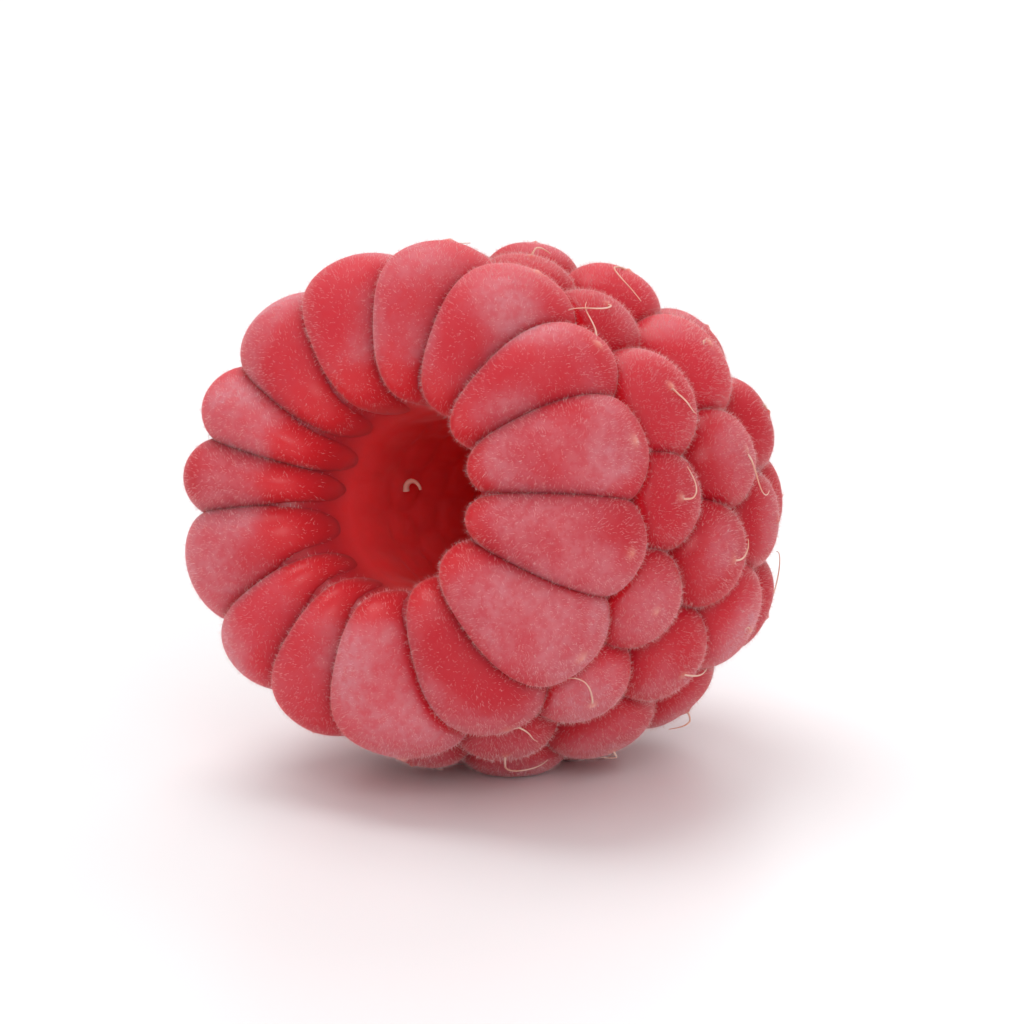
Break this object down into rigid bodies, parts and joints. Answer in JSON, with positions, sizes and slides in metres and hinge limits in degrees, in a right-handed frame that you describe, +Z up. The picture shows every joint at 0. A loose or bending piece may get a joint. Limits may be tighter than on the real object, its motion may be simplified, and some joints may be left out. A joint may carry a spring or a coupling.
{
  "type": "raspberry",
  "caption": "A picked raspberry lying on its side: long drupelets roll over the rim of its open hollow, and rounder ones are packed down to a blunt tip.",
  "frame": {"origin": "On the ground, at the middle of the bottom face of the fruit's bounding box.", "axes": "+Z is up, away from the ground the fruit lies on. The open mouth of the hollow faces -Y and a little up, the blunt tip points along +Y and a little down, and +X is to the right as one looks into the mouth."},
  "size_m": [0.022, 0.024, 0.0221],
  "materials": {
    "skin": "ripe red fruit skin with a dull, dusty bloom"
  },
  "bodies": {
    "root": {"raspberry": "skin"}
  },
  "joints": []
}
